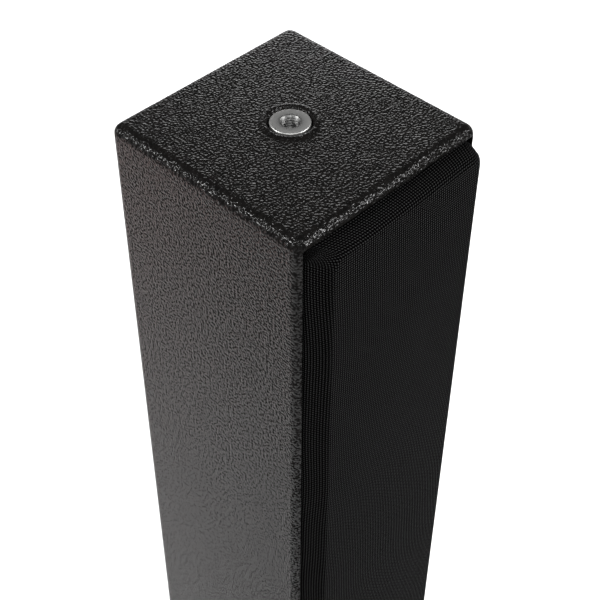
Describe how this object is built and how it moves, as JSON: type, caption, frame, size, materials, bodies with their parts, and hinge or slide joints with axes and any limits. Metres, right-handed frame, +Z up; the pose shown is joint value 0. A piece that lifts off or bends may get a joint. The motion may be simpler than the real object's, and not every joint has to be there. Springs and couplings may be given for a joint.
{
  "type": "column pa system",
  "caption": "Slim column loudspeaker with a threaded top insert and cloth grille, docked on a bass cabinet with side handles, amplifier plate, knobs and sockets.",
  "frame": {"origin": "centre of the footprint, on the floor", "axes": "+Z up, along the column; -Y is the front with the grilles; +X is the right side seen from the front"},
  "size_m": [0.3266, 0.3948, 1.2652],
  "materials": {
    "cabinet_paint": "black textured polyurea paint on plywood",
    "baffle_paint": "matt black paint",
    "insert_steel": "machined steel",
    "grille_cloth": "black woven speaker cloth",
    "grille_frame": "black moulded plastic",
    "driver_basket": "black powder-coated steel",
    "driver_cone": "coated paper with a rubber-like surround",
    "driver_magnet": "ferrite and dark plated steel",
    "black_plastic": "fine-textured black plastic",
    "amplifier_panel": "satin black anodised sheet",
    "circuit_board": "green board with its parts",
    "heatsink_metal": "extruded aluminium",
    "foot_rubber": "black rubber"
  },
  "bodies": {
    "sub_cabinet": {"sub_left_panel": "cabinet_paint", "sub_right_panel": "cabinet_paint", "sub_bottom_panel": "cabinet_paint", "sub_top_panel": "cabinet_paint", "sub_back_panel": "cabinet_paint", "sub_baffle": "baffle_paint", "left_handle_cup": "black_plastic", "right_handle_cup": "black_plastic", "sub_dock_socket": "black_plastic", "sub_port_tube": "black_plastic", "woofer_frame": "driver_basket", "woofer_magnet": "driver_magnet", "amplifier_plate": "amplifier_panel", "amplifier_heatsink": "heatsink_metal", "amplifier_board": "circuit_board", "input_1_socket": "black_plastic", "input_2_socket": "black_plastic", "mains_inlet": "black_plastic", "front_left_foot": "foot_rubber", "front_right_foot": "foot_rubber", "rear_left_foot": "foot_rubber", "rear_right_foot": "foot_rubber"},
    "column": {"column_left_panel": "cabinet_paint", "column_right_panel": "cabinet_paint", "column_back_panel": "cabinet_paint", "column_top_panel": "cabinet_paint", "column_top_insert": "insert_steel", "column_bottom_panel": "cabinet_paint", "column_dock_plug": "black_plastic", "column_baffle": "baffle_paint", "tweeter_horn": "black_plastic", "tweeter_motor": "driver_magnet", "column_crossover_board": "circuit_board", "driver_1_frame": "driver_basket", "driver_1_magnet": "driver_magnet", "driver_2_frame": "driver_basket", "driver_2_magnet": "driver_magnet", "driver_3_frame": "driver_basket", "driver_3_magnet": "driver_magnet", "driver_4_frame": "driver_basket", "driver_4_magnet": "driver_magnet", "driver_5_frame": "driver_basket", "driver_5_magnet": "driver_magnet", "driver_6_frame": "driver_basket", "driver_6_magnet": "driver_magnet"},
    "column_grille": {"column_grille_frame": "grille_frame", "column_grille_cloth": "grille_cloth"},
    "sub_grille": {"sub_grille_frame": "grille_frame", "sub_grille_cloth": "grille_cloth"},
    "woofer_diaphragm": {"woofer_cone": "driver_cone"},
    "driver_1_diaphragm": {"driver_1_cone": "driver_cone"},
    "driver_2_diaphragm": {"driver_2_cone": "driver_cone"},
    "driver_3_diaphragm": {"driver_3_cone": "driver_cone"},
    "driver_4_diaphragm": {"driver_4_cone": "driver_cone"},
    "driver_5_diaphragm": {"driver_5_cone": "driver_cone"},
    "driver_6_diaphragm": {"driver_6_cone": "driver_cone"},
    "input_1_knob": {"input_1_knob": "black_plastic"},
    "input_2_knob": {"input_2_knob": "black_plastic"},
    "master_knob": {"master_knob": "black_plastic"},
    "power_rocker": {"power_rocker": "black_plastic"}
  },
  "joints": [
    {"name": "column_lift", "type": "slide", "parent": "sub_cabinet", "child": "column", "axis": [0, 0, 1], "range_m": [0, 0.06]},
    {"name": "column_grille_pull", "type": "slide", "parent": "column", "child": "column_grille", "axis": [0, -1, 0], "range_m": [0, 0.03]},
    {"name": "sub_grille_pull", "type": "slide", "parent": "sub_cabinet", "child": "sub_grille", "axis": [0, -1, 0], "range_m": [0, 0.035]},
    {"name": "woofer_travel", "type": "slide", "parent": "sub_cabinet", "child": "woofer_diaphragm", "axis": [0, -1, 0], "range_m": [-0.006, 0.006], "stiffness_N_per_m": 4000},
    {"name": "driver_1_travel", "type": "slide", "parent": "column", "child": "driver_1_diaphragm", "axis": [0, -1, 0], "range_m": [-0.0025, 0.0025], "stiffness_N_per_m": 1200},
    {"name": "driver_2_travel", "type": "slide", "parent": "column", "child": "driver_2_diaphragm", "axis": [0, -1, 0], "range_m": [-0.0025, 0.0025], "stiffness_N_per_m": 1200},
    {"name": "driver_3_travel", "type": "slide", "parent": "column", "child": "driver_3_diaphragm", "axis": [0, -1, 0], "range_m": [-0.0025, 0.0025], "stiffness_N_per_m": 1200},
    {"name": "driver_4_travel", "type": "slide", "parent": "column", "child": "driver_4_diaphragm", "axis": [0, -1, 0], "range_m": [-0.0025, 0.0025], "stiffness_N_per_m": 1200},
    {"name": "driver_5_travel", "type": "slide", "parent": "column", "child": "driver_5_diaphragm", "axis": [0, -1, 0], "range_m": [-0.0025, 0.0025], "stiffness_N_per_m": 1200},
    {"name": "driver_6_travel", "type": "slide", "parent": "column", "child": "driver_6_diaphragm", "axis": [0, -1, 0], "range_m": [-0.0025, 0.0025], "stiffness_N_per_m": 1200},
    {"name": "input_1_knob_turn", "type": "hinge", "parent": "sub_cabinet", "child": "input_1_knob", "pos_m": [-0.066, 0.1834, 0.26], "axis": [0, -1, 0], "range_deg": [-150, 150]},
    {"name": "input_2_knob_turn", "type": "hinge", "parent": "sub_cabinet", "child": "input_2_knob", "pos_m": [-0.022, 0.1834, 0.26], "axis": [0, -1, 0], "range_deg": [-150, 150]},
    {"name": "master_knob_turn", "type": "hinge", "parent": "sub_cabinet", "child": "master_knob", "pos_m": [0.022, 0.1834, 0.26], "axis": [0, -1, 0], "range_deg": [-150, 150]},
    {"name": "power_rocker_tilt", "type": "hinge", "parent": "sub_cabinet", "child": "power_rocker", "pos_m": [0.074, 0.1834, 0.127], "axis": [1, 0, 0], "range_deg": [0, 20]}
  ]
}
